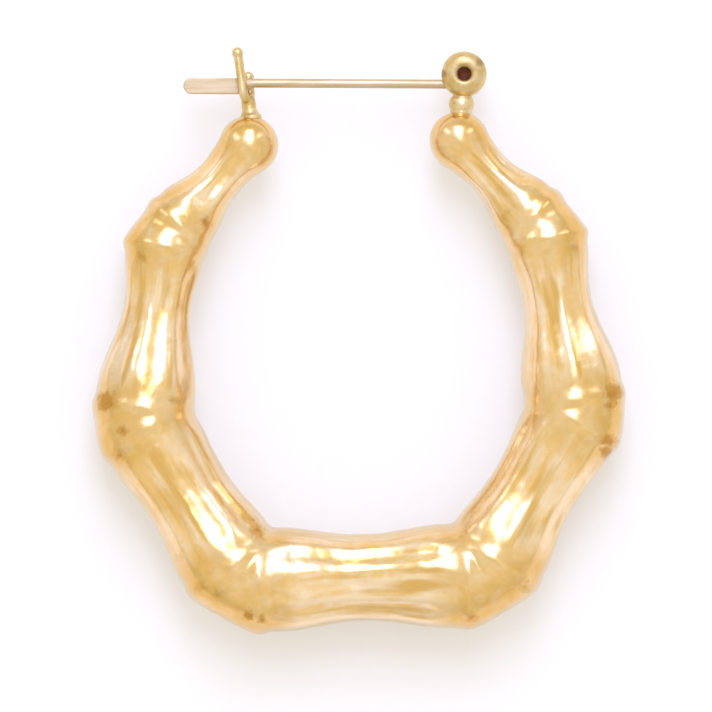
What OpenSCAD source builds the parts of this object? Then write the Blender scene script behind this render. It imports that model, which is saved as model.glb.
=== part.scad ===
/* [Hoop] */
// Size of the whole hoop beside the drawn one of 41 mm across, the clasp's own parts apart
hoop_size = 1; // [0.98:0.01:1.04]
// Radius that rounds the back of each crest, where the tube drops to the groove
crest_round = 0.42; // [0.3:0.02:0.5]
// How steeply a tube flares from its waist to its crests, as a power of the way along
flare = 1.9; // [1.7:0.1:2.4]

/* [Catch] */
// Thickness of the fork, along the ear post
fork_t = 0.68; // [0.5:0.02:0.8]
// Width of one prong of the fork
prong_w = 0.8; // [0.7:0.05:1]
// Width of the slot between the prongs
slot_w = 0.72; // [0.66:0.02:0.9]
// Lean of the fork towards the free end of the post, in degrees
fork_lean = 10; // [6:1:13]
// Radius of the soldered foot below the fork
foot_r = 0.56; // [0.5:0.02:0.7]

/* [Hinge] */
// Diameter of the round knuckle
knuckle_d = 3.5; // [3.4:0.1:3.8]
// Thickness of the knuckle, across the hoop's plane
knuckle_t = 2.7; // [2.5:0.1:3]
// Radius that rounds the rims of the knuckle
knuckle_round = 0.75; // [0.5:0.05:0.9]
// Width of the slot that the eye of the post turns in
knuckle_slot = 0.9; // [0.88:0.02:1]
// Diameter of the hinge pin
pin_d = 1.08; // [0.96:0.02:1.1]
// Length of the hinge pin, less than the knuckle's thickness so that its ends lie sunk
pin_l = 1.8; // [1.6:0.1:2]
// Radius of the bead between the hoop's end and the knuckle
bead_r = 0.96; // [0.9:0.02:1.1]

/* [Ear post] */
// Diameter of the round wire
wire_d = 0.7; // [0.64:0.02:0.74]
// Length of the post from the hinge to its free end
post_l = 21.5; // [21.2:0.1:22]
// Tilt of the post from level when it is closed, in degrees
post_tilt = 1.5; // [1:0.1:1.6]
// Diameter of the eye
eye_d = 2.34; // [2.3:0.02:2.4]
// Thickness of the eye
eye_t = 0.8; // [0.76:0.02:0.82]
// Width of the flattened tip
tip_w = 1.24; // [1.1:0.02:1.26]
// Thickness of the flattened tip
tip_t = 0.5; // [0.4:0.02:0.54]
// Length of the flattened tip
tip_l = 5.1; // [4.8:0.1:5.3]

/* [Hidden] */
$fn = 96;

// Crest rings of the right half, from the end of the hoop down to its base
X = 0;
Y = 1;
R = 2;
RINGS = [
    // x, y, radius
    [8.07, 15.00, 2.36],
    [13.50, 9.05, 2.92],
    [14.60, 7.40, 3.32],
    [16.50, -5.00, 4.00],
    [16.35, -6.60, 4.05],
    [9.97, -17.07, 4.20],
    [8.05, -18.30, 4.20],
    [-8.05, -18.30, 4.20]
];

// Bamboo tubes, each between two rings, with the last one as the base
FROM = 0;
WAIST_R = 1;
WAIST_AT = 2;
TUBES = [
    // first ring, radius at the waist, place of the waist along the tube
    [0, 1.84, 0.43],
    [2, 2.68, 0.36],
    [4, 3.45, 0.50],
    [6, 3.42, 0.50]
];
SIDE_TUBES = 3;

// Grooves between two tubes, each after the ring that it starts from
AFTER = 0;
GROOVE_R = 1;
GROOVE_D = 2;
GROOVES = [
    // ring before it, radius of its bottom, depth below the line over the two crests
    [1, 2.60, 0.36],
    [3, 3.42, 0.62],
    [5, 3.62, 0.42]
];

// Steps of the rounded outlines
ARC_STEPS = 6;
DOME_STEPS = 11;
FLARE_STEPS = 9;
GROOVE_STEPS = 10;

// How far the round end goes on past its widest place, in degrees
DOME_PAST = 20;

// How deep a groove's core goes below the line over its two crests, past its own depth
OVERLAP = 0.03;

// Height of the hoop's plane above the surface, and reach of the fork
plane_z = RINGS[6][R] * hoop_size;
top_y = (RINGS[6][R] - RINGS[6][Y]) * hoop_size;

// Gaps that let the clasp's parts move
PIN_GAP = 0.02;
EYE_GAP = 0.04;
FLOOR_GAP = 0.1;

// Places of the clasp's parts in the hoop's plane
hinge_xy = [8.56, 20.1] * hoop_size;
bead_xy = [8.30, 17.80] * hoop_size;
foot_xy = [-7.85, 17.00] * hoop_size;

// How far the foot goes into the hoop's round end and stops short of the fork's slot
foot_sunk = 0.5;
foot_short = 0.4;

// Radius of the fork's knobs, and of the flats at the poles of the knobs and the bead
knob_r = prong_w / 2 + 0.04;
KNOB_FLAT = 0.1;
BEAD_FLAT = 0.55;

// Drop of the wire below the hinge, and of the flattened tip below the wire
wire_drop = 0.76;
tip_drop = 0.24;

// Floor of the knuckle's slot below the hinge
slot_floor = eye_d / 2 + FLOOR_GAP;

// Vector and ring helpers
function at(i) = [RINGS[i][X], RINGS[i][Y]] * hoop_size;
function radius(i) = RINGS[i][R] * hoop_size;
function unit(v) = v / norm(v);
function turned(v) = [-v[Y], v[X]];
function angle_of(v) = atan2(v[Y], v[X]);
function along(i) = unit(at(i + 1) - at(i));
function crest_tip(i, dir) = at(i) + turned(dir) * radius(i);
function cross_2d(a, b) = a[X] * b[Y] - a[Y] * b[X];

// Where the lines p + s * u and q + t * v meet
function meeting(p, u, q, v) = p + u * cross_2d(q - p, v) / cross_2d(u, v);

// Outline of one flared half of a tube, from the crest to the waist, as [radius, place] points
function half_flare(crest_r, waist_r, length) = [
    for (i = [0 : FLARE_STEPS])
        let (t = i / FLARE_STEPS)
        [waist_r + (crest_r - waist_r) * pow(1 - t, flare), length * t]
];

// Rounded back of a crest, from the flat end of the tube out to the crest
function crest_back(crest_r) = [
    for (i = [0 : ARC_STEPS - 1])
        let (a = 90 * i / ARC_STEPS)
        [crest_r - crest_round * (1 - sin(a)), -crest_round * cos(a)]
];

// Round end of the hoop, from its pole to a little past its widest place
function dome(r) = [
    for (i = [0 : DOME_STEPS])
        let (a = (90 + DOME_PAST) * i / DOME_STEPS)
        [r * sin(a), -r * cos(a)]
];

// Outline from the round end down to the waist, without a corner where it starts
function half_neck(end_r, waist_r, length) =
    let (
        start_r = end_r * cos(DOME_PAST),
        start = end_r * sin(DOME_PAST),
        power = tan(DOME_PAST) * (length - start) / (start_r - waist_r)
    )
    [
        for (i = [1 : FLARE_STEPS])
            let (t = i / FLARE_STEPS)
            [waist_r + (start_r - waist_r) * pow(1 - t, power), start + (length - start) * t]
    ];

// Outline of one end of a tube: a round end on the first ring, and a crest on every other one
function tube_end(i, waist_r, length) = i == 0
    ? concat(dome(radius(i)), half_neck(radius(i), waist_r, length))
    : concat(
        [[0, -crest_round]],
        crest_back(radius(i)),
        half_flare(radius(i), waist_r, length)
    );

function reversed(points, length) = [
    for (i = [len(points) - 1 : -1 : 0]) [points[i][0], length - points[i][1]]
];

// Lays a solid of revolution that is drawn round Z along the direction dir from the place p
module lay_along(p, dir) {
    translate([p[X], p[Y], 0])
        rotate([0, 0, angle_of(dir)])
            rotate([0, 90, 0])
                children();
}

// One bamboo tube: round, narrow at its waist, with a crest or a round end on each ring
module bamboo_tube(tube) {
    first = tube[FROM];
    start = at(first);
    length = norm(at(first + 1) - start);
    waist_r = tube[WAIST_R] * hoop_size;
    waist_at = tube[WAIST_AT] * length;
    head = tube_end(first, waist_r, waist_at);
    foot = reversed(tube_end(first + 1, waist_r, length - waist_at), length);
    lay_along(start, along(first))
        rotate_extrude()
            polygon(concat(head, [for (i = [1 : len(foot) - 1]) foot[i]]));
}

// The hollow-sided core of a groove, kept between the planes of its two crests
module groove_core(groove) {
    first = groove[AFTER];
    dir_a = along(first - 1);
    dir_b = along(first + 1);
    tip_a = crest_tip(first, dir_a);
    tip_b = crest_tip(first + 1, dir_b);
    pivot = meeting(tip_a, turned(dir_a), tip_b, turned(dir_b));
    dir = unit(tip_b - tip_a);
    half = norm(tip_b - tip_a) / 2;
    depth = groove[GROOVE_D] * hoop_size;
    bottom_r = groove[GROOVE_R] * hoop_size;
    centre = (tip_a + tip_b) / 2 - turned(dir) * (bottom_r + depth + OVERLAP);
    reach = half + crest_round;
    side = [
        for (i = [-GROOVE_STEPS : GROOVE_STEPS])
            let (s = reach * i / GROOVE_STEPS)
            [bottom_r + depth * pow(s / half, 2), s]
    ];
    far = 3 * radius(first);
    intersection() {
        lay_along(centre, dir)
            rotate_extrude()
                polygon(concat([[0, -reach]], side, [[0, reach]]));
        linear_extrude(height = far, center = true)
            polygon([pivot, pivot + turned(dir_a) * far, pivot + turned(dir_b) * far]);
    }
}

// Half of the hoop: the tubes of one side and the grooves between them
module hoop_side() {
    for (i = [0 : SIDE_TUBES - 1])
        bamboo_tube(TUBES[i]);
    for (groove = GROOVES)
        groove_core(groove);
}

// Small turned bead round Z, cut flat at both poles
module turned_bead(r, flat) {
    edge = acos(flat / r);
    rotate_extrude()
        polygon(concat(
            [[0, -r * sin(edge)]],
            [
                for (i = [-ARC_STEPS : ARC_STEPS])
                    let (a = edge * i / ARC_STEPS)
                    [r * cos(a), r * sin(a)]
            ],
            [[0, r * sin(edge)]]
        ));
}

// Fork that the flattened tip of the post drops into, standing on a round foot
module catch_fork() {
    tip_y = hinge_xy[Y] - wire_drop - tip_drop + sin(post_tilt) * (post_l - tip_l);
    floor_y = (tip_y - tip_w / 2 - FLOOR_GAP - foot_xy[Y]) / cos(fork_lean);
    fork_h = (top_y - foot_xy[Y]) / cos(fork_lean);
    fork_w = slot_w + 2 * prong_w;
    prong_z = fork_w / 2 - prong_w / 2;
    translate([foot_xy[X], foot_xy[Y], 0])
        rotate([0, 0, fork_lean]) {
            rotate([0, -90, 0])
                linear_extrude(height = fork_t, center = true)
                    difference() {
                        union() {
                            translate([-fork_w / 2, floor_y])
                                square([fork_w, fork_h - floor_y - knob_r]);
                            translate([0, floor_y])
                                circle(d = fork_w);
                        }
                        translate([-slot_w / 2, floor_y + slot_w / 2])
                            square([slot_w, fork_h]);
                        translate([0, floor_y + slot_w / 2])
                            circle(d = slot_w);
                    }
            for (side = [-1, 1])
                translate([0, fork_h - knob_r, side * (prong_z + knob_r - prong_w / 2)])
                    rotate([-90, 0, 0])
                        turned_bead(knob_r, KNOB_FLAT);
            translate([0, -foot_sunk, 0])
                rotate([-90, 0, 0])
                    cylinder(r = foot_r, h = foot_sunk + floor_y - foot_short);
        }
}

// Round knuckle with its slot, its pin hole and the bead below it
module knuckle() {
    r = knuckle_d / 2;
    half_t = knuckle_t / 2;
    rim = [
        for (side = [-1, 1], i = [0 : ARC_STEPS])
            let (a = 90 * (i / ARC_STEPS - (side < 0 ? 1 : 0)))
            [
                r - knuckle_round * (1 - cos(a)),
                side * (half_t - knuckle_round) + knuckle_round * sin(a)
            ]
    ];
    lay_along(bead_xy, unit(hinge_xy - bead_xy))
        turned_bead(bead_r, BEAD_FLAT);
    translate([hinge_xy[X], hinge_xy[Y], 0])
        difference() {
            rotate_extrude()
                polygon(concat([[0, -half_t]], rim, [[0, half_t]]));
            translate([-knuckle_d, -slot_floor, -knuckle_slot / 2])
                cube([2 * knuckle_d, knuckle_d, knuckle_slot]);
            cylinder(d = pin_d + 2 * PIN_GAP, h = 2 * knuckle_t, center = true);
        }
}

// The bamboo hoop with its catch and knuckle soldered on
module hoop() {
    color("goldenrod")
        translate([0, 0, plane_z]) {
            hoop_side();
            mirror([1, 0, 0])
                hoop_side();
            bamboo_tube(TUBES[SIDE_TUBES]);
            catch_fork();
            knuckle();
        }
}

module hinge_pin() {
    color("sienna")
        translate([hinge_xy[X], hinge_xy[Y], plane_z])
            cylinder(d = pin_d, h = pin_l, center = true);
}

// The ear post: a flat eye, a round wire and a flattened tip
module ear_post() {
    wire_start = 0.4;
    neck_l = 0.9;
    neck_lap = 0.5;
    wire_end = post_l - tip_l - neck_l + neck_lap;
    tip_y = -wire_drop - tip_drop;
    wire_r = wire_d / 2;
    neck_end_r = tip_t / 2 - 0.02;
    neck_half = wire_r * 0.6;
    color("khaki")
        translate([hinge_xy[X], hinge_xy[Y], plane_z])
            rotate([0, 0, -post_tilt])
                difference() {
                    union() {
                        cylinder(d = eye_d, h = eye_t, center = true);
                        translate([-wire_start, -wire_drop, 0])
                            rotate([0, -90, 0])
                                cylinder(r = wire_r, h = wire_end - wire_start);
                        translate([-wire_end, -wire_drop, 0])
                            rotate([0, -90, 0])
                                cylinder(r1 = wire_r, r2 = neck_end_r, h = neck_l);
                        linear_extrude(height = tip_t, center = true) {
                            translate([-post_l + tip_w / 2, tip_y])
                                circle(d = tip_w);
                            translate([-post_l + tip_w / 2, tip_y - tip_w / 2])
                                square([tip_l - tip_w / 2, tip_w]);
                            polygon([
                                [-post_l + tip_l, tip_y - tip_w / 2],
                                [-post_l + tip_l, tip_y + tip_w / 2],
                                [-wire_end + neck_l, -wire_drop + neck_half],
                                [-wire_end + neck_l, -wire_drop - neck_half]
                            ]);
                        }
                    }
                    cylinder(d = pin_d + 2 * EYE_GAP, h = 2 * eye_t, center = true);
                }
}

hoop();
hinge_pin();
ear_post();
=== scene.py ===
"""Looks of a gold bamboo hoop earring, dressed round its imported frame."""

import logging
import math
from collections.abc import Sequence
from dataclasses import dataclass
from enum import IntEnum
from typing import Any

import bpy
import numpy as np
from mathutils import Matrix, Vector


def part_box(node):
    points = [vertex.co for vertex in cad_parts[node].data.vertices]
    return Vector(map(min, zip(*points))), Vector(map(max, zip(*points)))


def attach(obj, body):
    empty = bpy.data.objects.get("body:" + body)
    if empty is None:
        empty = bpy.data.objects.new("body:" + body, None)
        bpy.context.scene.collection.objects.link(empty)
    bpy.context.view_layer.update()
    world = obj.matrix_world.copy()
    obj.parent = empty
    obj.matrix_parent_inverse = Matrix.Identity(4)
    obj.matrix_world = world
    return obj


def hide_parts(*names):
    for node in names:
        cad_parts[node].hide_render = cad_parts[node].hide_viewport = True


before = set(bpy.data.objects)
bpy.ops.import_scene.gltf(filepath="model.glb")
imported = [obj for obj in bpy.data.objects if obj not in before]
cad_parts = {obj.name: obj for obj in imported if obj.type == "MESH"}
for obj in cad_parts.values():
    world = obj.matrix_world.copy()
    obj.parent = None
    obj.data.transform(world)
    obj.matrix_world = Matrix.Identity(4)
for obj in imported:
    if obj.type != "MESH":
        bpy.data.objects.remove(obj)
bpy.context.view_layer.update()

LOG = logging.getLogger("bamboo_earring")

# New pieces are modelled in millimetres and scaled to metres when they are done
MM = 0.001
ROUND_MAP = "round"
RUN_MAP = "run"
FLUTE_MAP = "flutes"
# The run map counts on from tube to tube: each tube has 40 mm of it and starts at 10 mm
TUBE_SPAN = 40
TUBE_START = 10
# The band texture's input is the angle times the flutes over this, which makes one band of two flutes
BAND_RATE = 20
# How far its input moves on from tube to tube, so that no two tubes have the same bands
BAND_SHIFT = 1.7
# The hinge's axis in the hoop's plane, in millimetres
HINGE_AT = (8.56, 20.1)

Piece = bpy.types.Object
Profile = list[tuple[float, float]]
Pairs = Sequence[tuple[float, float]]
Colour = tuple[float, float, float, float]
Station = tuple[float, Vector, float]


# The bench: small steps that every piece is made with


def deselect_all() -> None:
    """Leaves edit mode and deselects every object."""
    if bpy.context.object and bpy.context.object.mode != "OBJECT":
        bpy.ops.object.mode_set(mode="OBJECT")
    bpy.ops.object.select_all(action="DESELECT")


def activate(piece: Piece) -> None:
    """Makes one piece the only selected and active one.

    Args:
        piece: The piece to work on.
    """
    deselect_all()
    piece.select_set(True)
    bpy.context.view_layer.objects.active = piece


def settle() -> None:
    """Puts the selected piece's place, turn and scale into its mesh."""
    bpy.ops.object.transform_apply(location=True, rotation=True, scale=True)


def open_ring(name: str, sides: int, radius: float, spot: Any, turn: Any = (0, 0, 0)) -> Piece:
    """Adds a ring of points and opens it in edit mode, ready to be drawn out into a body.

    Args:
        name: The body's name.
        sides: Number of points.
        radius: The ring's radius.
        spot: The ring's centre.
        turn: The ring's rotation, in radians.

    Returns:
        The body.
    """
    deselect_all()
    bpy.ops.mesh.primitive_circle_add(vertices=sides, radius=radius, location=spot, rotation=turn)
    body = bpy.context.object
    body.name = name
    bpy.ops.object.mode_set(mode="EDIT")
    return body


def draw_out(step: Any) -> None:
    """Extrudes what is selected in edit mode by one step."""
    bpy.ops.mesh.extrude_region_move(TRANSFORM_OT_translate={"value": step})


def close_up(meets: bool = False) -> None:
    """Closes the shape in edit mode, turns its faces outwards and leaves edit mode.

    Args:
        meets: True where its last ring lies on its first, False where both ends need caps.
    """
    bpy.ops.mesh.select_all(action="SELECT")
    if meets:
        bpy.ops.mesh.remove_doubles(threshold=0.0005)
    else:
        bpy.ops.mesh.fill_holes(sides=0)
    bpy.ops.mesh.select_all(action="SELECT")
    bpy.ops.mesh.normals_make_consistent(inside=False)
    bpy.ops.object.mode_set(mode="OBJECT")
    settle()


def block(spot: Any, sizes: tuple[float, float, float]) -> Piece:
    """Returns a new block with its middle at a spot."""
    deselect_all()
    bpy.ops.mesh.primitive_cube_add(size=1, location=spot)
    body = bpy.context.object
    body.scale = sizes
    settle()
    return body


def sphere(spot: Any, radius: float, segments: int, rings: int) -> Piece:
    """Returns a new ball with its middle at a spot."""
    deselect_all()
    bpy.ops.mesh.primitive_uv_sphere_add(segments=segments, ring_count=rings, radius=radius, location=spot)
    settle()
    return bpy.context.object


def place(piece: Piece, spot: Vector, direction: Vector = Vector((0, 0, 1))) -> None:
    """Moves a piece that was made about the Z axis to its spot, and puts that into its mesh.

    Args:
        piece: The piece.
        spot: Where its own origin goes.
        direction: Where its own Z axis points.
    """
    activate(piece)
    piece.rotation_euler = Vector((0, 0, 1)).rotation_difference(direction).to_euler()
    piece.location = spot
    settle()


def swing(piece: Piece, spot: Vector, degrees: float) -> None:
    """Turns a piece about Z, moves its origin to a spot, and puts both into its mesh.

    Args:
        piece: The piece.
        spot: Where its own origin goes.
        degrees: How far it turns, anticlockwise from above.
    """
    activate(piece)
    piece.rotation_euler = (0, 0, math.radians(degrees))
    piece.location = spot
    settle()


def apply_modifier(piece: Piece, kind: str, **settings: Any) -> None:
    """Adds one modifier to a piece and applies it.

    Args:
        piece: The piece to change.
        kind: The modifier's kind.
        **settings: The modifier's own settings.
    """
    activate(piece)
    modifier = piece.modifiers.new(kind.lower(), kind)
    for name, value in settings.items():
        setattr(modifier, name, value)
    bpy.ops.object.modifier_apply(modifier=modifier.name)


def cut(piece: Piece, cutter: Piece) -> None:
    """Cuts one closed body out of another and uses it up.

    Args:
        piece: The body that is kept.
        cutter: The body that is taken away.
    """
    apply_modifier(piece, "BOOLEAN", operation="DIFFERENCE", solver="EXACT", object=cutter)
    bpy.data.objects.remove(cutter)


def melt(pieces: list[Piece], name: str, grain: float, passes: int) -> Piece:
    """Melts overlapping closed bodies into one soft-edged casting.

    Args:
        pieces: The bodies, which are used up.
        name: The casting's name.
        grain: The size of its faces in millimetres.
        passes: How often its edges are smoothed.

    Returns:
        The casting.
    """
    activate(pieces[0])
    for piece in pieces[1:]:
        piece.select_set(True)
    bpy.ops.object.join()
    casting = bpy.context.object
    casting.name = name
    apply_modifier(casting, "REMESH", mode="VOXEL", voxel_size=grain)
    apply_modifier(casting, "SMOOTH", factor=0.5, iterations=passes)
    return casting


def finish_piece(piece: Piece, body: str, node: str, finish: "Finish") -> None:
    """Scales a piece from millimetres to metres, dresses it, and hands it to the frame.

    Args:
        piece: The finished piece.
        body: The body that it rides.
        node: The solid that it stands for.
        finish: What its surface is made of.
    """
    activate(piece)
    piece.scale = (MM, MM, MM)
    settle()
    bpy.ops.object.shade_smooth()
    piece.data.materials.clear()
    piece.data.materials.append(finish.material())
    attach(piece, body)
    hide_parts(node)
    LOG.info("%s: %d faces", piece.name, len(piece.data.polygons))


def arc(centre: tuple[float, float], radius: float, start: float, end: float, steps: int) -> Profile:
    """Returns points on an arc.

    Args:
        centre: Radius and height of the arc's centre.
        radius: The arc's own radius.
        start: First angle in degrees, where 0 points out from the axis.
        end: Last angle in degrees.
        steps: Number of steps between them.

    Returns:
        The points, both ends included.
    """
    turns = [math.radians(start + (end - start) * i / steps) for i in range(steps + 1)]
    return [(centre[0] + radius * math.cos(a), centre[1] + radius * math.sin(a)) for a in turns]


@dataclass(frozen=True)
class Rim:
    """A washer's rim: its radius, how far its edges are rounded, and in how many steps."""

    radius: float
    edge: float
    steps: int = 4


@dataclass(frozen=True)
class Lathe:
    """Turns round bodies about the Z axis: a circle is drawn out ring by ring."""

    sides: int = 96

    def turn(self, name: str, profile: Profile, closed_loop: bool = False) -> Piece:
        """Turns one closed body.

        Args:
            name: The body's name.
            profile: Pairs of radius and height, in millimetres.
            closed_loop: True where the profile ends where it began, as a washer's does.

        Returns:
            The body.
        """
        radius, height = profile[0]
        body = open_ring(name, self.sides, radius, (0, 0, height))
        for new_radius, new_height in profile[1:]:
            scale = new_radius / radius
            draw_out((0, 0, new_height - height))
            bpy.ops.transform.resize(value=(scale, scale, 1), center_override=(0, 0, new_height))
            radius, height = new_radius, new_height
        close_up(closed_loop)
        return body

    def washer(self, name: str, rim: Rim, bore: Rim, thick: float) -> Piece:
        """Turns a thick washer with rounded edges.

        Args:
            name: The washer's name.
            rim: Its outer rim.
            bore: The rim of its hole.
            thick: Its thickness.

        Returns:
            The closed washer about the origin.
        """
        profile = []
        for part, start, side in ((rim, -90, -1), (rim, 0, 1), (bore, 90, 1), (bore, 180, -1)):
            inset = part.edge if part is bore else -part.edge
            centre = (part.radius + inset, side * (thick / 2 - part.edge))
            profile += arc(centre, part.edge, start, start + 90, part.steps)
        return self.turn(name, profile + profile[:1], closed_loop=True)

    def sweep(self, name: str, stations: list[Station]) -> Piece:
        """Draws one closed body through rings that stand in the hoop's plane.

        Args:
            name: The body's name.
            stations: Each ring's radius, centre and heading in radians.

        Returns:
            The body.
        """
        radius, spot, heading = stations[0]
        body = open_ring(name, self.sides, radius, spot, (math.pi / 2, 0, heading + math.pi / 2))
        for new_radius, new_spot, new_heading in stations[1:]:
            scale = new_radius / radius
            draw_out(new_spot - spot)
            bpy.ops.transform.rotate(
                value=heading - new_heading, orient_axis="Z", center_override=new_spot
            )
            bpy.ops.transform.resize(value=(scale, scale, scale), center_override=new_spot)
            radius, spot, heading = new_radius, new_spot, new_heading
        close_up()
        return body


# Shader maths


class Sock:
    """A shader socket that takes part in Python expressions."""

    def __init__(self, tree: "ShaderTree", out: bpy.types.NodeSocket) -> None:
        """Wraps one output of a node.

        Args:
            tree: The tree that the node is in.
            out: The output.
        """
        self.tree = tree
        self.out = out

    def __add__(self, other: Any) -> "Sock":
        """Returns self + other."""
        return self.tree.maths("ADD", self, other)

    __radd__ = __add__

    def __mul__(self, other: Any) -> "Sock":
        """Returns self * other."""
        return self.tree.maths("MULTIPLY", self, other)

    __rmul__ = __mul__

    def __sub__(self, other: Any) -> "Sock":
        """Returns self - other."""
        return self.tree.maths("SUBTRACT", self, other)

    def __rsub__(self, other: Any) -> "Sock":
        """Returns other - self."""
        return self.tree.maths("SUBTRACT", other, self)

    def __truediv__(self, other: Any) -> "Sock":
        """Returns self / other."""
        return self.tree.maths("DIVIDE", self, other)


class ShaderTree:
    """A node tree with a short way to each kind of node."""

    def __init__(self, tree: bpy.types.NodeTree) -> None:
        """Starts on an empty tree.

        Args:
            tree: The tree of a material or a world.
        """
        self.nodes = tree.nodes
        self.links = tree.links
        self.nodes.clear()

    def node(self, kind: str, settings: dict[str, Any], sockets: dict[Any, Any]) -> bpy.types.Node:
        """Adds a node, sets it and fills its sockets.

        Args:
            kind: The node's type.
            settings: The node's own settings, and a ramp's stops under the name stops.
            sockets: Values or links by the input's name or number.

        Returns:
            The node.
        """
        node = self.nodes.new(kind)
        for name, value in settings.items():
            if name == "stops":
                self.set_stops(node.color_ramp, value)
            else:
                setattr(node, name, value)
        for key, value in sockets.items():
            if isinstance(value, Sock):
                self.links.new(value.out, node.inputs[key])
            else:
                node.inputs[key].default_value = value
        return node

    @staticmethod
    def set_stops(ramp: bpy.types.ColorRamp, stops: Pairs) -> None:
        """Sets a grey ramp's stops.

        Args:
            ramp: The ramp.
            stops: Pairs of place and grey value.
        """
        while len(ramp.elements) < len(stops):
            ramp.elements.new(0.5)
        for element, (spot, grey) in zip(ramp.elements, stops):
            element.position = spot
            element.color = (grey, grey, grey, 1)

    def value(self, kind: str, out: Any, settings: dict[str, Any], sockets: dict[Any, Any]) -> Sock:
        """Adds a node and returns one of its outputs."""
        return Sock(self, self.node(kind, settings, sockets).outputs[out])

    def maths(self, how: str, first: Any, second: Any = 0.0) -> Sock:
        """Adds one Math node and returns its value."""
        return self.value("ShaderNodeMath", 0, {"operation": how}, {0: first, 1: second})

    def spot(self) -> Sock:
        """Returns the Object coordinates in millimetres."""
        here = self.value("ShaderNodeTexCoord", "Object", {}, {})
        return self.value("ShaderNodeVectorMath", 0, {"operation": "SCALE"}, {0: here, "Scale": 1 / MM})

    def chart(self, name: str) -> tuple[Sock, Sock]:
        """Reads one of the piece's maps.

        Args:
            name: The map's name.

        Returns:
            Both of its numbers.
        """
        pair = self.value("ShaderNodeUVMap", 0, {"uv_map": name}, {})
        split = self.node("ShaderNodeSeparateXYZ", {}, {0: pair})
        return Sock(self, split.outputs[0]), Sock(self, split.outputs[1])

    def noise(self, spot: Sock, scale: float, detail: float = 2, rough: float = 0.5) -> Sock:
        """Returns a soft noise from 0 to 1 whose grains are 1 / scale millimetres."""
        sockets = {"Vector": spot, "Scale": scale, "Detail": detail, "Roughness": rough}
        return self.value("ShaderNodeTexNoise", 0, {}, sockets)

    def ramp(self, value: Sock, stops: Pairs) -> Sock:
        """Returns a value bent by a grey ramp, which takes 0 to 1; a length is scaled to fit in it."""
        return self.value("ShaderNodeValToRGB", 0, {"stops": stops}, {0: value})

    def blend(self, mask: Any, first: Any, second: Any) -> Sock:
        """Returns the colour first where the mask is 0, and second where it is 1."""
        colours = {0: mask, 6: first, 7: second}
        return self.value("ShaderNodeMix", 2, {"data_type": "RGBA"}, colours)

    def bump(self, height: Sock, depth: float, strength: float = 1.0) -> Sock:
        """Returns a normal for a height from 0 to 1.

        Args:
            height: The height.
            depth: What a height of 1 stands for, in millimetres.
            strength: How much of it shows.

        Returns:
            The bent normal.
        """
        sockets = {"Strength": strength, "Distance": depth * MM, "Height": height}
        return self.value("ShaderNodeBump", 0, {}, sockets)


@dataclass(frozen=True)
class Stain:
    """A dark spot, of tarnish, and on the clasp one of painted shade: its place in the hoop's plane, its
    reach in millimetres and its strength.
    """

    x: float
    y: float
    reach: float
    strength: float


def tarnish_and_shade_mask(tree: ShaderTree, spot: Sock, stains: tuple[Stain, ...], ragged: float) -> Sock:
    """Returns how dark the upper side is, from 0 to 1, by its ragged stains of tarnish and, on the clasp,
    of painted shade.

    Args:
        tree: The tree to add nodes to.
        spot: The place in millimetres.
        stains: The stains.
        ragged: How uneven their edges are.

    Returns:
        The strength of the tarnish and painted shade.
    """
    edge = (tree.noise(spot, 1.9, 4, 0.65) - 0.5) * ragged
    split = tree.node("ShaderNodeSeparateXYZ", {}, {0: spot})
    across, along = Sock(tree, split.outputs[0]), Sock(tree, split.outputs[1])
    upper = tree.ramp(Sock(tree, split.outputs[2]) * 0.1, [(0.38, 0), (0.5, 1)])
    mask: Any = 0.0
    for stain in stains:
        off_x, off_y = across - stain.x, along - stain.y
        away = tree.maths("SQRT", off_x * off_x + off_y * off_y) / stain.reach
        one = tree.maths("MAXIMUM", (1.35 - (away + edge)) * stain.strength, 0.0)
        mask = tree.maths("MAXIMUM", one, mask)
    return tree.ramp(upper * mask, [(0.15, 0), (0.75, 1)])


class Finish:
    """A surface finish that makes its own material."""

    name = "finish"

    def sockets(self, tree: ShaderTree) -> dict[str, Any]:
        """Returns the Principled shader's inputs; each finish gives its own.

        Args:
            tree: The tree to add nodes to.

        Returns:
            Values or links by the shader's input.
        """
        return {}

    def material(self) -> bpy.types.Material:
        """Makes the finish's material, or finds the one made before.

        Returns:
            The material.
        """
        known = bpy.data.materials.get(self.name)
        if known:
            return known
        material = bpy.data.materials.new(self.name)
        material.use_nodes = True
        tree = ShaderTree(material.node_tree)
        shader = tree.node("ShaderNodeBsdfPrincipled", {}, self.sockets(tree))
        out = tree.node("ShaderNodeOutputMaterial", {}, {})
        tree.links.new(shader.outputs[0], out.inputs[0])
        return material


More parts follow.
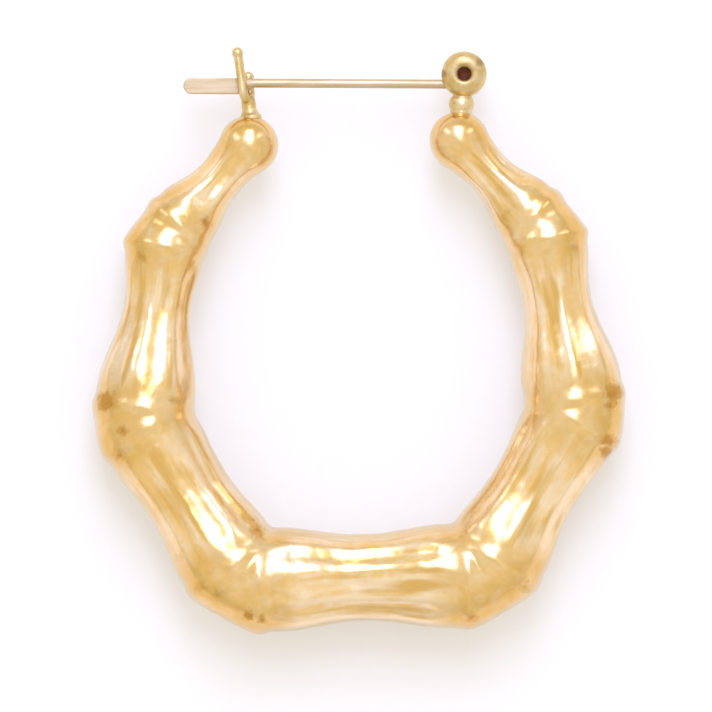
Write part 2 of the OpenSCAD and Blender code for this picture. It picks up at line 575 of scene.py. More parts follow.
@dataclass(frozen=True)
class BambooGold(Finish):
    """Bright gold plate with colour drifts, faint lengthwise lines and tarnished grooves; partly painted
    shade deepens the joints, and a painted reflection of the table tints the tubes' sides.
    """

    name: str = "bamboo_gold"
    pale: Colour = (0.95, 0.73, 0.46, 1)
    warm: Colour = (0.90, 0.60, 0.25, 1)
    # Deep gold: random lengthwise streaks, and partly painted shade at the joints
    deep: Colour = (0.76, 0.46, 0.12, 1)
    # Painted reflection: a darker, less saturated tone for the tubes' sides and underside, standing in for
    # the shaded table that they reflect
    sides: Colour = (0.75, 0.665, 0.48, 1)
    tarnish: Colour = (0.52, 0.25, 0.035, 1)
    roughness: float = 0.165
    streak_depth: float = 0.06
    brush_depth: float = 0.006
    streak_grain: tuple[float, float] = (2.2, 0.20)
    tint_grain: tuple[float, float] = (2.9, 0.12)
    shade_grain: tuple[float, float] = (3.3, 0.15)
    ragged: float = 2.6
    tarnish_share: float = 0.85
    stains: tuple[Stain, ...] = (
        Stain(-19.25, -4.40, 0.75, 1.0),
        Stain(-18.10, -6.70, 0.50, 0.6),
        Stain(-18.35, -8.50, 0.50, 0.5),
        Stain(-14.10, -4.35, 0.50, 0.35),
        Stain(-16.40, 6.60, 0.50, 0.5),
        Stain(-14.45, 10.40, 0.50, 0.35),
        Stain(-11.52, 9.15, 0.60, 0.58),
        Stain(19.45, -4.50, 0.80, 0.85),
        Stain(19.15, -5.40, 0.50, 0.6),
        Stain(18.95, -8.20, 0.60, 0.8),
        Stain(18.75, -9.00, 0.55, 0.8),
        Stain(16.70, 6.60, 0.50, 0.3),
        Stain(11.45, 9.20, 0.50, 0.4),
        Stain(-13.95, -16.30, 0.50, 0.3),
        Stain(-12.40, -18.65, 0.60, 0.38),
        Stain(-11.10, -19.20, 0.55, 0.45),
        Stain(-8.75, -20.90, 0.48, 0.85),
        Stain(-7.70, -21.20, 0.40, 0.7),
        Stain(-8.30, -13.65, 0.50, 0.42),
        Stain(-8.00, -14.50, 0.60, 0.50),
        Stain(8.20, -21.40, 0.55, 0.5),
        Stain(12.40, -19.20, 0.60, 0.4),
    )

    def drawn_out(self, tree: ShaderTree, fine: float, quick: float) -> Sock:
        """Returns a place for noise that is drawn out along the tubes.

        Args:
            tree: The tree to add nodes to.
            fine: How fast the noise changes round a tube.
            quick: How fast it changes for each millimetre along the tube.

        Returns:
            The place.
        """
        cos, sin = tree.chart(ROUND_MAP)
        place = tree.chart(RUN_MAP)[0]
        return tree.value("ShaderNodeCombineXYZ", 0, {}, {0: cos * fine, 1: sin * fine, 2: place * quick})

    def sockets(self, tree: ShaderTree) -> dict[str, Any]:
        """Returns the gold's inputs."""
        spot = tree.spot()
        cos, sin = tree.chart(ROUND_MAP)
        place, length = tree.chart(RUN_MAP)
        along = tree.maths("MODULO", place, TUBE_SPAN) - TUBE_START
        from_end = tree.maths("MINIMUM", along, length - along)
        inside = tree.ramp(from_end * 0.25, [(0.05, 0), (0.4, 1)])
        streaks = (tree.noise(self.drawn_out(tree, *self.streak_grain), 1.0, 0) - 0.5) * inside
        tints = (tree.noise(self.drawn_out(tree, *self.tint_grain), 1.0, 2, 0.55) - 0.5) * inside
        mottle = tree.noise(spot, 0.75, 3, 0.6) - 0.5
        drift = tree.ramp(tints * 0.8 + mottle * 0.6 + 0.5, [(0.42, 0), (0.60, 1)])
        colour = tree.blend(drift, self.pale, self.warm)
        # Deeper gold near each tube's ends, fullest on the outward side: partly tarnish, partly painted
        # shade at the joints
        near_end = tree.ramp((from_end + 1.0) * 0.2, [(0.45, 1), (0.85, 0)])
        joint = near_end * tree.ramp(cos, [(0.0, 0.6), (0.5, 1)])
        patches = tree.ramp(tree.noise(spot, 0.6, 4, 0.6), [(0.36, 0.6), (0.58, 1)])
        shades = tree.noise(self.drawn_out(tree, *self.shade_grain), 1.0, 2)
        shade = inside * tree.ramp(shades, [(0.50, 0), (0.66, 0.9)])
        colour = tree.blend(tree.maths("MAXIMUM", joint * patches * 0.9, shade), colour, self.deep)
        # Painted reflection and shade: where a tube's surface turns from its top to its sides and
        # underside, it blends to the sides colour
        colour = tree.blend(tree.ramp(sin, [(0.22, 0.65), (0.62, 0)]), colour, self.sides)
        dull = tarnish_and_shade_mask(tree, spot, self.stains, self.ragged)
        colour = tree.blend(dull * self.tarnish_share, colour, self.tarnish)
        brush = tree.noise(spot, 3.0, 2) * (self.brush_depth / self.streak_depth)
        scuffs = tree.noise(spot, 2.4, 4, 0.6)
        return {
            "Base Color": colour,
            "Metallic": 1.0,
            "Roughness": self.roughness + scuffs * 0.1 + dull * 0.15,
            "Normal": tree.bump(streaks + brush, self.streak_depth),
        }


@dataclass(frozen=True)
class ClaspGold(Finish):
    """Cast gold of the small clasp parts, softer in its shine, darker where pitted, and with painted shade
    where the post enters the knuckle's slot.
    """

    name: str = "clasp_gold"
    pale: Colour = (0.80, 0.62, 0.33, 1)
    warm: Colour = (0.68, 0.48, 0.17, 1)
    # Colour of the pitted spots and of the painted shade at the slot's mouth
    pits_and_slot_shade: Colour = (0.34, 0.20, 0.06, 1)
    roughness: float = 0.3
    pit_depth: float = 0.03
    stains: tuple[Stain, ...] = (
        Stain(8.60, 20.30, 1.50, 0.60),
        Stain(9.72, 20.90, 0.42, 0.8),
        # Painted shade: the dark spot where the post enters the knuckle's slot
        Stain(6.92, 20.15, 0.36, 1.0),
        Stain(7.60, 18.75, 0.30, 0.5),
        Stain(-7.95, 17.35, 0.50, 0.5),
    )

    def sockets(self, tree: ShaderTree) -> dict[str, Any]:
        """Returns the cast gold's inputs."""
        spot = tree.spot()
        drift = tree.ramp(tree.noise(spot, 0.9, 3), [(0.35, 0), (0.65, 1)])
        colour = tree.blend(drift, self.pale, self.warm)
        specks = tree.ramp(tree.noise(spot, 1.1, 3, 0.55), [(0.60, 0), (0.72, 0.8)])
        pits_and_slot_shade = tree.maths("MAXIMUM", specks, tarnish_and_shade_mask(tree, spot, self.stains, 1.2))
        grain = tree.noise(spot, 6, 3, 0.6)
        return {
            "Base Color": tree.blend(pits_and_slot_shade * 0.7, colour, self.pits_and_slot_shade),
            "Metallic": 1.0,
            "Roughness": self.roughness + grain * 0.1 + pits_and_slot_shade * 0.2,
            "Normal": tree.bump(grain, self.pit_depth, 0.5),
        }


@dataclass(frozen=True)
class DrawnWire(Finish):
    """Drawn gold wire, hammered flat at its tip, with faint lines along it."""

    name: str = "drawn_gold_wire"
    pale: Colour = (0.68, 0.52, 0.33, 1)
    warm: Colour = (0.56, 0.41, 0.20, 1)
    roughness: float = 0.42
    dent_depth: float = 0.02

    def sockets(self, tree: ShaderTree) -> dict[str, Any]:
        """Returns the wire's inputs."""
        spot = tree.spot()
        long_way = tree.value("ShaderNodeMapping", 0, {}, {"Vector": spot, "Scale": (0.12, 1.6, 1.6)})
        streaks = tree.noise(long_way, 2.0, 3, 0.6)
        dents = tree.noise(spot, 1.6, 2)
        return {
            "Base Color": tree.blend(tree.ramp(streaks, [(0.35, 0), (0.7, 1)]), self.pale, self.warm),
            "Metallic": 1.0,
            "Roughness": self.roughness + streaks * 0.12,
            "Normal": tree.bump(dents * 0.7 + streaks * 0.3, self.dent_depth, 0.6),
        }


@dataclass(frozen=True)
class TarnishedRivet(Finish):
    """The sunk rivet, nearly black brown in its hole."""

    name: str = "tarnished_rivet"
    dark: Colour = (0.085, 0.018, 0.006, 1)
    brown: Colour = (0.20, 0.06, 0.015, 1)

    def sockets(self, tree: ShaderTree) -> dict[str, Any]:
        """Returns the rivet's inputs."""
        spot = tree.spot()
        crust = tree.noise(spot, 3.5, 4, 0.6)
        return {
            "Base Color": tree.blend(tree.ramp(crust, [(0.4, 0), (0.7, 1)]), self.dark, self.brown),
            "Metallic": 0.7,
            "Roughness": 0.4 + crust * 0.3,
            "Normal": tree.bump(crust, 0.03, 0.6),
        }


@dataclass(frozen=True)
class LightTable(Finish):
    """Plain white surface that glows a little, as a photographer's table does."""

    name: str = "white_surface"
    white: Colour = (0.645, 0.62, 0.58, 1)
    bright_white: Colour = (0.665, 0.64, 0.60, 1)
    glow: Colour = (1.0, 0.92, 0.86, 1)
    glow_strength: float = 0.29

    def sockets(self, tree: ShaderTree) -> dict[str, Any]:
        """Returns the surface's inputs."""
        grain = tree.noise(tree.spot(), 0.8, 3)
        return {
            "Base Color": tree.blend(grain, self.white, self.bright_white),
            "Roughness": 0.9,
            "Specular IOR Level": 0.1,
            "Emission Color": self.glow,
            "Emission Strength": self.glow_strength,
        }


# The bamboo hoop


class Side(IntEnum):
    """One half of the hoop, by the sign of its X."""

    HINGE = 1
    CATCH = -1


@dataclass(frozen=True)
class Ring:
    """A crest ring: its centre in the hoop's plane, its radius and its ridge, in millimetres."""

    x: float
    y: float
    r: float
    ridge: float = 0.27


@dataclass(frozen=True)
class Bamboo:
    """A tube: its first ring, its waist's radius and place along it, and its number of flutes."""

    first: int
    waist: float
    waist_at: float
    flutes: int


@dataclass(frozen=True)
class Groove:
    """A groove between two tubes: the ring before it, its depth and where its bottom is."""

    after: int
    depth: float
    low: float


@dataclass(frozen=True)
class Stretch:
    """A straight stretch of the hoop, from one ring's centre to the next."""

    start: Vector
    along: Vector
    outward: Vector
    length: float


@dataclass
class BambooHoop:
    """The hoop of flared tubes, with its crests, its grooves and its two round ends.

    A flare keeps its width over the plateau, a share of the way from its ring to the waist, and a lean
    under 1 narrows it sooner. The flutes begin flutes_from a tube's end and are in full at flutes_full.
    """

    plane: float
    rings: tuple[Ring, ...] = (
        Ring(8.07, 15.00, 2.36),
        Ring(13.50, 9.05, 2.92),
        Ring(14.60, 7.40, 3.32),
        Ring(16.50, -5.00, 4.00, 0.16),
        Ring(16.35, -6.60, 4.05),
        Ring(9.97, -17.07, 4.20, 0.20),
        Ring(8.05, -18.30, 4.20, 0.16),
        Ring(-8.05, -18.30, 4.20, 0.16),
    )
    side_tubes: tuple[Bamboo, ...] = (
        Bamboo(0, 1.84, 0.43, 6),
        Bamboo(2, 2.68, 0.36, 8),
        Bamboo(4, 3.45, 0.50, 10),
    )
    base: Bamboo = Bamboo(6, 3.42, 0.50, 10)
    grooves: tuple[Groove, ...] = (Groove(1, 0.20, 0.30), Groove(3, 0.13, 0.32), Groove(5, 0.28, 0.5))
    crest_round: float = 0.55
    crest_swell: float = 0.05
    ridge_wide: float = 0.90
    plateau: float = 0.24
    lean: float = 0.85
    ridge_steps: int = 8
    dome_from: float = -87
    dome_past: float = 20
    dome_steps: int = 20
    flare_steps: int = 22
    groove_steps: int = 14
    grain: float = 0.178
    passes: int = 9
    flute_depth: float = 0.17
    flute_turbulence: float = 2.0
    flute_size: float = 1.5
    flutes_from: float = 0.6
    flutes_full: float = 2.6
    fade_steps: int = 10
    dent_depth: float = 0.09
    dent_size: float = 2.2
    ripple_depth: float = 0.035
    ripple_size: float = 0.8
    lathe: Lathe = Lathe(96)

    def centre(self, i: int, side: Side) -> Vector:
        """Returns the centre of ring i on one side of the hoop."""
        return Vector((self.rings[i].x * side, self.rings[i].y, self.plane))

    def stretch(self, i: int, side: Side) -> Stretch:
        """Measures a straight stretch of the hoop.

        Args:
            i: The ring that it starts from.
            side: The half that it is in.

        Returns:
            The stretch to the next ring.
        """
        start = self.centre(i, side)
        step = self.centre(i + 1, side) - start
        along = step.normalized()
        return Stretch(start, along, Vector((-along.y, along.x, 0)) * side, step.length)

    def tubes(self) -> list[tuple[Bamboo, Side]]:
        """Returns every tube with its half of the hoop; the base counts as the hinge's."""
        return [(t, side) for side in Side for t in self.side_tubes] + [(self.base, Side.HINGE)]

    def end_profile(self, i: int, waist: float, length: float) -> Profile:
        """Returns a tube's outline from its end on ring i to its waist.

        Args:
            i: The ring; the first one has a round end.
            waist: The waist's radius.
            length: How far the waist is from the ring.

        Returns:
            Pairs of radius and place along the tube, the ring at zero.
        """
        if i == 0:
            radius = self.rings[i].r
            past = math.radians(self.dome_past)
            lip = arc((0, 0), radius, self.dome_from, self.dome_past, self.dome_steps)
            start_r, start = lip[-1]
            power = math.tan(past) * (length - start) / (start_r - waist)
            steps = [k / self.flare_steps for k in range(1, self.flare_steps + 1)]
            return lip + [
                (waist + (start_r - waist) * (1 - t) ** power, start + (length - start) * t) for t in steps
            ]
        radius = self.rings[i].r + self.crest_swell
        lip = arc((radius - self.crest_round, 0), self.crest_round, -90, 0, self.ridge_steps)
        marks = [self.ridge_wide * k / self.ridge_steps for k in range(1, self.ridge_steps)]
        rest = length - self.ridge_wide
        marks += [self.ridge_wide + rest * k / self.flare_steps for k in range(self.flare_steps + 1)]
        flare = []
        for mark in marks:
            past_ridge = min(mark / self.ridge_wide, 1)
            past_plateau = max(mark / length - self.plateau, 0) / (1 - self.plateau)
            ridge = self.rings[i].ridge * self.ease(past_ridge)
            swell = (radius - self.rings[i].ridge - waist) * self.ease(past_plateau**self.lean)
            flare.append((waist + swell + ridge, mark))
        return lip + flare

    @staticmethod
    def ease(part: float) -> float:
        """Returns 1 at the start and 0 at the end of a soft S-curve."""
        return (1 + math.cos(math.pi * part)) / 2

    def tube(self, bamboo: Bamboo, side: Side) -> Piece:
        """Turns one bamboo tube and lays it in the hoop.

        Args:
            bamboo: The tube's sizes.
            side: The half that it is in.

        Returns:
            The closed tube.
        """
        first = bamboo.first
        run = self.stretch(first, side)
        waist_at = bamboo.waist_at * run.length
        head = self.end_profile(first, bamboo.waist, waist_at)
        tail = self.end_profile(first + 1, bamboo.waist, run.length - waist_at)
        far_half = [(r, run.length - s) for r, s in reversed(tail)]
        body = self.lathe.turn("tube", head + far_half[1:])
        place(body, run.start, run.along)
        return body

    def groove(self, groove: Groove, side: Side) -> Piece:
        """Draws the soft hollow of a joint, whose rings fan out round the bend from crest to crest.

        Args:
            groove: The groove's sizes.
            side: The half that it is in.

        Returns:
            The closed body.
        """
        first = groove.after
        before = self.stretch(first - 1, side).along
        after = self.stretch(first + 1, side).along
        ends = [self.rings[i].r + self.crest_swell for i in (first, first + 1)]
        spots = [self.centre(i, side) for i in (first, first + 1)]
        heading = math.atan2(before.y, before.x)
        turn = math.remainder(math.atan2(after.y, after.x) - heading, 2 * math.pi)
        stations = []
        for step in range(self.groove_steps + 1):
            part = step / self.groove_steps
            if part < groove.low:
                hollow = 1 - self.ease(part / groove.low)
            else:
                hollow = self.ease((part - groove.low) / (1 - groove.low))
            radius = ends[0] + (ends[1] - ends[0]) * part - groove.depth * hollow
            stations.append((radius, spots[0].lerp(spots[1], part), heading + turn * part))
        return self.lathe.sweep("groove", stations)

    def measure(self, spots: np.ndarray, run: Stretch) -> tuple[np.ndarray, np.ndarray, np.ndarray]:
        """Measures places against one tube.

        Args:
            spots: The places.
            run: The tube's stretch.

        Returns:
            The angle round it from its outer line, the way along it and the distance from its axis.
        """
        out = spots - np.array(run.start)
        along = out @ np.array(run.along)
        foot = np.clip(along, 0, run.length)[:, None] * np.array(run.along)
        angle = np.arctan2(out[:, 2], out @ np.array(run.outward))
        return angle, along, np.linalg.norm(out - foot, axis=1)

    def chart(self, hoop: Piece) -> None:
        """Maps the hoop face by face: the angle round the nearest tube, and the way along it.

        Args:
            hoop: The fused hoop, still in millimetres.
        """
        mesh = hoop.data
        corners = np.empty(len(mesh.loops), np.int32)
        mesh.loops.foreach_get("vertex_index", corners)
        spots = np.empty(len(mesh.vertices) * 3)
        mesh.vertices.foreach_get("co", spots)
        starts, counts = np.empty((2, len(mesh.polygons)), np.int32)
        mesh.polygons.foreach_get("loop_start", starts)
        mesh.polygons.foreach_get("loop_total", counts)
        runs = [self.stretch(bamboo.first, side) for bamboo, side in self.tubes()]
        angles, alongs, gaps = np.stack([self.measure(spots.reshape(-1, 3), run) for run in runs], 1)
        lengths = np.array([run.length for run in runs])
        flutes = np.array([bamboo.flutes for bamboo, _ in self.tubes()])
        nearest = gaps.argmin(0)
        tube = np.repeat(nearest[corners[starts]], counts)
        angle = angles[tube, corners]
        self.write(mesh, ROUND_MAP, np.cos(angle), np.sin(angle))
        self.write(mesh, RUN_MAP, alongs[tube, corners] + TUBE_START + TUBE_SPAN * tube, lengths[tube])
        from_below = np.where(angle < -np.pi / 2, angle + 2 * np.pi, angle)
        bands = from_below * flutes[tube] / BAND_RATE + tube * BAND_SHIFT
        self.write(mesh, FLUTE_MAP, bands, np.zeros(len(corners)))
        along = alongs[nearest, np.arange(len(nearest))]
        self.fade(hoop, np.minimum(along, lengths[nearest] - along))

    def fade(self, hoop: Piece, from_end: np.ndarray) -> None:
        """Marks how deep the flutes go: not at all at a tube's ends, and in full further in.

        Args:
            hoop: The fused hoop, still in millimetres.
            from_end: How far each point is from its tube's nearer end.
        """
        full = (from_end - self.flutes_from) / (self.flutes_full - self.flutes_from)
        levels = np.rint(np.clip(full, 0, 1) * self.fade_steps).astype(int)
        group = hoop.vertex_groups.new(name=FLUTE_MAP)
        for level in range(self.fade_steps + 1):
            group.add(np.flatnonzero(levels == level).tolist(), level / self.fade_steps, "REPLACE")

    @staticmethod
    def write(mesh: bpy.types.Mesh, name: str, first: np.ndarray, second: np.ndarray) -> None:
        """Writes one map of two numbers a corner.

        Args:
            mesh: The mesh to map.
            name: The map's name.
            first: The first number of each corner.
            second: The second number of each corner.
        """
        layer = mesh.uv_layers.new(name=name)
        layer.data.foreach_set("uv", np.stack([first, second], 1).astype(np.float32).ravel())

    def weather(self, hoop: Piece) -> None:
        """Presses the lengthwise flutes and the faint waves of thin metal, always inwards.

        Args:
            hoop: The charted hoop.
        """
        bands = bpy.data.textures.new("flutes", "WOOD")
        bands.wood_type = "BANDNOISE"
        bands.turbulence = self.flute_turbulence
        bands.noise_scale = self.flute_size
        apply_modifier(
            hoop,
            "DISPLACE",
            texture=bands,
            texture_coords="UV",
            uv_layer=FLUTE_MAP,
            vertex_group=FLUTE_MAP,
            strength=self.flute_depth,
            mid_level=1.0,
        )
        hoop.data.uv_layers.remove(hoop.data.uv_layers[FLUTE_MAP])
        hoop.vertex_groups.clear()
        for size, depth in ((self.dent_size, self.dent_depth), (self.ripple_size, self.ripple_depth)):
            waves = bpy.data.textures.new("pressed_waves", "CLOUDS")
            waves.noise_scale = size
            waves.noise_depth = 1
            apply_modifier(
                hoop,
                "DISPLACE",
                texture=waves,
                texture_coords="LOCAL",
                strength=depth,
                mid_level=1.0,
            )

    def build(self) -> None:
        """Fuses all tubes and grooves into one hoop and dresses it."""
        bodies = [self.tube(bamboo, side) for bamboo, side in self.tubes()]
        bodies += [self.groove(groove, side) for side in Side for groove in self.grooves]
        hoop = melt(bodies, "bamboo_hoop", self.grain, self.passes)
        self.chart(hoop)
        self.weather(hoop)
        finish_piece(hoop, "hoop", "hoop", BambooGold())


# The clasp


@dataclass
class CatchFork:
    """The forked catch: a round foot on the hoop's end and a U of two prongs with knobs.

    Each point of the collar says how much wider it is than the stem, and how high over the hoop's end.
    """

    plane: float
    foot: tuple[float, float] = (-7.85, 17.00)
    lean: float = 7
    twist: float = 20
    short: float = 1.9
    bar: float = 0.68
    prong: float = 0.80
    slot: float = 0.72
    slot_floor: float = 1.837
    height: float = 5.585
    stem: float = 0.56
    stem_end: float = 0.1
    collar: Pairs = ((0.30, -0.6), (0.30, 0.24), (0.12, 0.44), (0, 0.72))
    knob: float = 0.44
    grain: float = 0.06
    passes: int = 8

    def bow(self) -> Piece:
        """Bends the U of both prongs from one bar.

        Returns:
            The closed bar, upright over the origin.
        """
        reach = (self.slot + self.prong) / 2
        bend = self.slot_floor + self.slot / 2
        tip = self.height - self.knob
        bow = open_ring("bow", 24, self.prong / 2, (0, tip, reach), (math.pi / 2, 0, 0))
        bpy.ops.transform.resize(value=(self.bar / self.prong, 1, 1), center_override=(0, tip, reach))
        draw_out((0, bend - tip, 0))
        bpy.ops.mesh.spin(steps=14, angle=-math.pi, center=(0, bend, 0), axis=(1, 0, 0))
        draw_out((0, tip - bend - self.short, 0))
        close_up()
        return bow

    def knobs(self) -> list[Piece]:
        """Makes the round knob on each prong's end.

        Returns:
            Both knobs, upright over the origin.
        """
        reach = (self.slot + self.prong) / 2 + self.knob - self.prong / 2
        upper = self.height - self.knob
        return [sphere(s, self.knob, 24, 16) for s in ((0, upper, reach), (0, upper - self.short, -reach))]

    def stalk(self) -> Piece:
        """Turns the foot with the solder that spreads over the hoop's end.

        Returns:
            The closed foot, upright over the origin.
        """
        top = self.slot_floor - self.stem_end
        profile = [(self.stem + wider, high) for wider, high in self.collar]
        profile += [(self.stem, top - 0.4), (self.stem * 0.8, top)]
        stalk = Lathe(32).turn("stalk", profile)
        place(stalk, Vector((0, 0, 0)), Vector((0, 1, 0)))
        return stalk

    def build(self) -> None:
        """Melts the bow, its knobs and its foot together and solders them on."""
        prongs = [self.bow(), *self.knobs()]
        for piece in prongs:
            activate(piece)
            piece.rotation_euler = (0, -math.radians(self.twist), 0)
            settle()
        fork = melt([*prongs, self.stalk()], "catch_fork", self.grain, self.passes)
        swing(fork, Vector((*self.foot, self.plane)), self.lean)
        finish_piece(fork, "hoop", "hoop", ClaspGold())


@dataclass
class HingeKnuckle:
    """The slotted knuckle with the bead below it, soldered to the hoop's end.

    Each point of the fillet says how much wider it is than the solder, and how far beyond the hoop's end.
    """

    plane: float
    hinge: tuple[float, float] = HINGE_AT
    bead_at: tuple[float, float] = (8.30, 17.80)
    end: Ring = BambooHoop.rings[0]
    width: float = 3.5
    thick: float = 2.7
    edge: float = 0.95
    hole: float = 0.98
    hole_edge: float = 0.30
    slot: float = 0.9
    slot_floor: float = 1.27
    bead: float = 0.96
    solder: float = 0.72
    fillet: Pairs = ((0, -0.7), (0.14, -0.12), (0, 0.06), (-0.1, 0.3))
    grain: float = 0.06
    passes: int = 8

    def disc(self) -> Piece:
        """Turns the knuckle with its pin hole and cuts its slot.

        Returns:
            The closed knuckle, where it stands.
        """
        rim = Rim(self.width / 2, self.edge, 8)
        disc = Lathe(64).washer("knuckle", rim, Rim(self.hole / 2, self.hole_edge), self.thick)
        place(disc, Vector((*self.hinge, self.plane)))
        height = self.slot_floor + self.width
        middle = self.hinge[1] - self.slot_floor + height / 2
        cut(disc, block((self.hinge[0], middle, self.plane), (2 * self.width, height, self.slot)))
        return disc

    def bead_and_solder(self) -> list[Piece]:
        """Makes the bead and the solder between it and the hoop's end.

        Returns:
            The bead and the solder, where they stand.
        """
        bead_at = Vector((*self.bead_at, self.plane))
        end_at = Vector((self.end.x, self.end.y, self.plane))
        bead = sphere(bead_at, self.bead, 48, 24)
        profile = [(self.solder + wider, self.end.r + beyond) for wider, beyond in self.fillet]
        solder = Lathe(32).turn("solder", profile)
        place(solder, end_at, (bead_at - end_at).normalized())
        return [bead, solder]

    def build(self) -> None:
        """Melts knuckle, bead and solder together."""
        knuckle = melt([self.disc(), *self.bead_and_solder()], "hinge_knuckle", self.grain, self.passes)
        finish_piece(knuckle, "hoop", "hoop", ClaspGold())


@dataclass
class HingeRivet:
    """The rivet, dished at both ends and sunk in the knuckle's hole.

    Each point of the bowl is a share of the rivet's radius and a share of the dish's depth.
    """

    plane: float
    hinge: tuple[float, float] = HINGE_AT
    width: float = 1.04
    length: float = 1.8
    edge: float = 0.1
    dish: float = 0.14
    bowl: Pairs = ((0.62, 0.5), (0.3, 1), (0.03, 1.15))

    def build(self) -> None:
        """Turns the rivet in its place."""
        radius, half = self.width / 2, self.length / 2
        rim = arc((radius - self.edge, half - self.edge), self.edge, 0, 90, 4)
        upper = rim + [(radius * share, half - self.dish * deep) for share, deep in self.bowl]
        lower = [(r, -h) for r, h in reversed(upper)]
        rivet = Lathe(40).turn("hinge_rivet", lower + upper)
        place(rivet, Vector((*self.hinge, self.plane)))
        finish_piece(rivet, "hoop", "hinge_pin", TarnishedRivet())


@dataclass
class EarPost:
    """The ear post: a flat eye, a round wire and a hammered tip.

    The neck between wire and tip starts neck_from of its own length before the tip's length begins,
    and the tip's blade starts blade_from of it after, so that the blade's square end is inside the neck.
    """

    plane: float
    hinge: tuple[float, float] = HINGE_AT
    tilt: float = 1.5
    eye: float = 2.34
    eye_thick: float = 0.8
    eye_bore: float = 1.16
    eye_edge: float = 0.14
    wire: float = 0.7
    wire_drop: float = 0.76
    wire_start: float = 0.5
    length: float = 21.5
    tip_length: float = 5.1
    tip_wide: float = 1.24
    tip_thick: float = 0.5
    tip_drop: float = 1.0
    neck: float = 1.3
    neck_from: float = 0.35
    neck_steps: int = 8
    blade_from: float = 0.4
    grain: float = 0.05
    passes: int = 8

    def eye_ring(self) -> Piece:
        """Returns the flat eye with its bore, about the origin."""
        rim, bore = Rim(self.eye / 2, self.eye_edge), Rim(self.eye_bore / 2, self.eye_edge)
        return Lathe(64).washer("eye", rim, bore, self.eye_thick)

    def shaft(self) -> Piece:
        """Draws the wire from the eye and forges its end down into the tip.

        Returns:
            The closed wire.
        """
        radius = self.wire / 2
        neck_start = self.length - self.tip_length - self.neck * self.neck_from
        start = (-self.wire_start, -self.wire_drop, 0)
        shaft = open_ring("shaft", 32, radius, start, (0, math.pi / 2, 0))
        draw_out((self.wire_start - neck_start, 0, 0))
        steps = self.neck_steps
        drop = self.tip_drop - self.wire_drop
        wide, thick = radius, radius
        eases = [(1 - math.cos(math.pi * k / steps)) / 2 for k in range(steps + 1)]
        for k in range(1, steps + 1):
            draw_out((-self.neck / steps, -drop * (eases[k] - eases[k - 1]), 0))
            new_wide = radius + (self.tip_wide / 2 - radius) * eases[k]
            new_thick = radius + (self.tip_thick / 2 - radius) * eases[k]
            centre = (-neck_start - self.neck * k / steps, -self.wire_drop - drop * eases[k], 0)
            scale = (1, new_wide / wide, new_thick / thick)
            bpy.ops.transform.resize(value=scale, center_override=centre)
            wide, thick = new_wide, new_thick
        close_up()
        return shaft

    def tip(self) -> list[Piece]:
        """Cuts the flat tip with its round end.

        Returns:
            The tip's blade and its round end.
        """
        half = self.tip_wide / 2
        inner = self.length - self.tip_length + self.neck * self.blade_from
        outer = self.length - half
        sizes = (outer - inner, self.tip_wide, self.tip_thick)
        blade = block((-(inner + outer) / 2, -self.tip_drop, 0), sizes)
        deselect_all()
        bpy.ops.mesh.primitive_cylinder_add(
            vertices=48, radius=half, depth=self.tip_thick, location=(-outer, -self.tip_drop, 0)
        )
        nose = bpy.context.object
        settle()
        return [blade, nose]

    def build(self) -> None:
        """Melts eye, wire and tip together and hangs them on the rivet."""
        post = melt([self.eye_ring(), self.shaft(), *self.tip()], "ear_post_wire", self.grain, self.passes)
        swing(post, Vector((*self.hinge, self.plane)), -self.tilt)
        finish_piece(post, "post", "ear_post", DrawnWire())


# The studio


@dataclass(frozen=True)
class Lamp:
    """A flat soft lamp: where it hangs, seen from the earring, and what it covers there."""

    name: str
    polar: float
    azimuth: float
    wide: float
    tall: float
    roll: float
    radiance: float
    distance: float = 0.42
    colour: tuple[float, float, float] = (0.85, 1.0, 1.7)

    def hang(self) -> None:
        """Hangs the lamp, facing the earring."""
        polar, azimuth = math.radians(self.polar), math.radians(self.azimuth)
        flat = math.sin(polar)
        toward = Vector((flat * math.sin(azimuth), flat * math.cos(azimuth), math.cos(polar)))
        data = bpy.data.lights.new(self.name, "AREA")
        data.shape = "RECTANGLE"
        data.size = 2 * self.distance * math.tan(math.radians(self.wide))
        data.size_y = 2 * self.distance * math.tan(math.radians(self.tall))
        # In Cycles an area lamp's radiance is a quarter of its power over its size
        data.energy = 4 * data.size * data.size_y * self.radiance
        data.color = self.colour
        lamp = bpy.data.objects.new(self.name, data)
        lamp.location = toward * self.distance
        lamp.rotation_euler = (-toward).to_track_quat("-Z", "Y").to_euler()
        lamp.rotation_euler.rotate_axis("Z", math.radians(self.roll))
        bpy.context.scene.collection.objects.link(lamp)


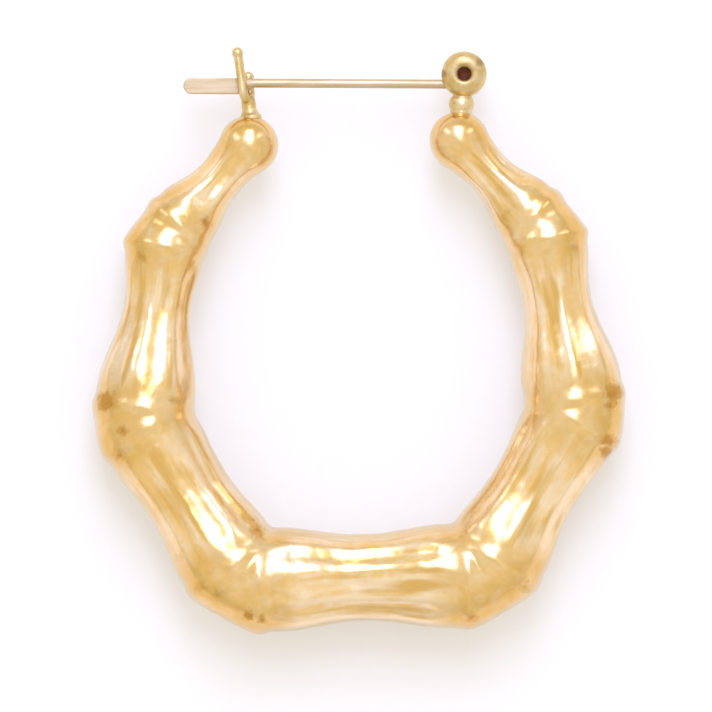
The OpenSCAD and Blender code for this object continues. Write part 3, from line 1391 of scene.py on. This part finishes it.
@dataclass(frozen=True)
class Studio:
    """A white surface, soft lamps beyond the clasp, a pale room, and the camera straight above."""

    centre: tuple[float, float] = (-0.17, -1.30)
    hoop_plane: float = 4.2
    view_width: float = 54.54
    distance: float = 600
    roll: float = 1.2
    sensor: float = 36
    surface_size: float = 1.6
    surface_drop: float = 0.00002
    room_light: float = 1.07
    sky: Pairs = ((0.0, 0.82), (0.22, 0.85), (0.5, 0.93), (0.85, 0.98), (1.0, 0.91))
    patchiness: Pairs = ((0.36, 0.88), (0.64, 1.0))
    lamps: tuple[Lamp, ...] = (
        Lamp("window", 38, 3, 11.5, 19, 6, 3.3),
        Lamp("top_panel", 14, 20, 9, 7, 0, 1.2),
        Lamp("left_panel", 60, -48, 6, 13, 0, 0.9),
        Lamp("right_panel", 60, 48, 6, 13, 0, 0.9),
    )

    def camera(self) -> None:
        """Adds the camera, which looks straight down with a long lens."""
        data = bpy.data.cameras.new("camera")
        data.sensor_width = self.sensor
        data.lens = self.sensor * self.distance / self.view_width
        data.clip_start = 0.05
        data.clip_end = 10
        camera = bpy.data.objects.new("camera", data)
        camera.location = Vector((*self.centre, self.hoop_plane + self.distance)) * MM
        camera.rotation_euler = (0, 0, -math.radians(self.roll))
        bpy.context.scene.collection.objects.link(camera)
        bpy.context.scene.camera = camera

    def surface(self) -> None:
        """Lays the surface that the earring rests on."""
        deselect_all()
        bpy.ops.mesh.primitive_plane_add(size=self.surface_size, location=(0, 0, -self.surface_drop))
        surface = bpy.context.object
        surface.name = "surface"
        settle()
        surface.data.materials.append(LightTable().material())

    def room(self) -> None:
        """Sets the light of a pale room, dimmer towards the horizon."""
        world = bpy.data.worlds.new("pale_room")
        bpy.context.scene.world = world
        world.use_nodes = True
        tree = ShaderTree(world.node_tree)
        toward = tree.value("ShaderNodeTexCoord", "Generated", {}, {})
        split = tree.node("ShaderNodeSeparateXYZ", {}, {0: toward})
        height = Sock(tree, split.outputs[2])
        patches = tree.ramp(tree.noise(toward, 2.6, 1), self.patchiness)
        grey = tree.ramp(height, self.sky) * patches * self.room_light
        back = tree.node("ShaderNodeBackground", {}, {0: grey, 1: 1.0})
        out = tree.node("ShaderNodeOutputWorld", {}, {})
        tree.links.new(back.outputs[0], out.inputs[0])

    def build(self) -> None:
        """Sets up the whole studio."""
        self.camera()
        self.surface()
        self.room()
        for lamp in self.lamps:
            lamp.hang()
        bpy.context.scene.view_settings.view_transform = "Standard"


def main() -> None:
    """Builds every piece in order and says what was made."""
    logging.basicConfig(level=logging.INFO, format="%(message)s")
    low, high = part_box("hoop")
    plane = (low.z + high.z) / 2 / MM
    for kind in (BambooHoop, CatchFork, HingeKnuckle, HingeRivet, EarPost):
        kind(plane).build()
        LOG.info("%s is in place", kind.__name__)
    Studio().build()
    LOG.info("The studio is lit")


if __name__ == "__main__":
    main()
